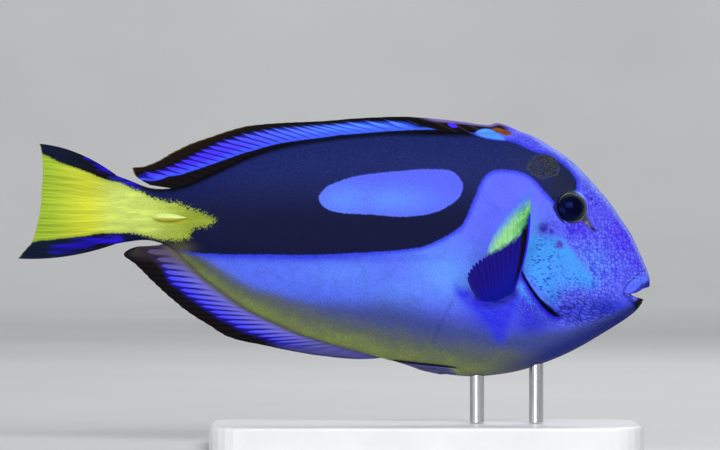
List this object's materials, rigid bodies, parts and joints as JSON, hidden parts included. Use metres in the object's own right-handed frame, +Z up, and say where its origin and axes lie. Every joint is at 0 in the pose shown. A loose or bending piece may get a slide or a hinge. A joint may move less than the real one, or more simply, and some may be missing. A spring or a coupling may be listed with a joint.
{
  "type": "regal blue tang",
  "caption": "Still, life-size blue tang with raised pectoral fins and yellow tail, on a flat base with short rods.",
  "frame": {"origin": "middle of the underside of the stand's base, on the surface that it stands on", "axes": "+X along the fish from tail to snout, +Y towards its left flank, +Z up"},
  "size_m": [0.2212, 0.082, 0.1153],
  "materials": {
    "skin": "moist fish skin, royal blue with near-black bands and a yellow wedge on the tail",
    "blue_fin": "blue membrane with near-black rays and margin",
    "yellow_fin": "lemon yellow membrane with near-black upper and lower edges",
    "dark_fin": "near-black violet membrane with blue rays and a yellow-green trailing zone",
    "grey_fin": "lavender grey membrane with a dark upper edge",
    "eye": "glossy near-black with a thin olive gold ring",
    "tail_spine": "pale yellow, smooth",
    "stand_base": "pale grey satin",
    "stand_rod": "brushed"
  },
  "bodies": {
    "root": {"head": "skin", "trunk": "skin", "tail_stalk": "skin", "dorsal_fin": "blue_fin", "anal_fin": "blue_fin", "caudal_fin": "yellow_fin", "pectoral_fin_left": "dark_fin", "pectoral_fin_right": "dark_fin", "pelvic_fin_left": "grey_fin", "pelvic_fin_right": "grey_fin", "eye_left": "eye", "eye_right": "eye", "tail_spine_left": "tail_spine", "tail_spine_right": "tail_spine", "stand_base": "stand_base", "stand_rod_front": "stand_rod", "stand_rod_rear": "stand_rod"}
  },
  "joints": []
}
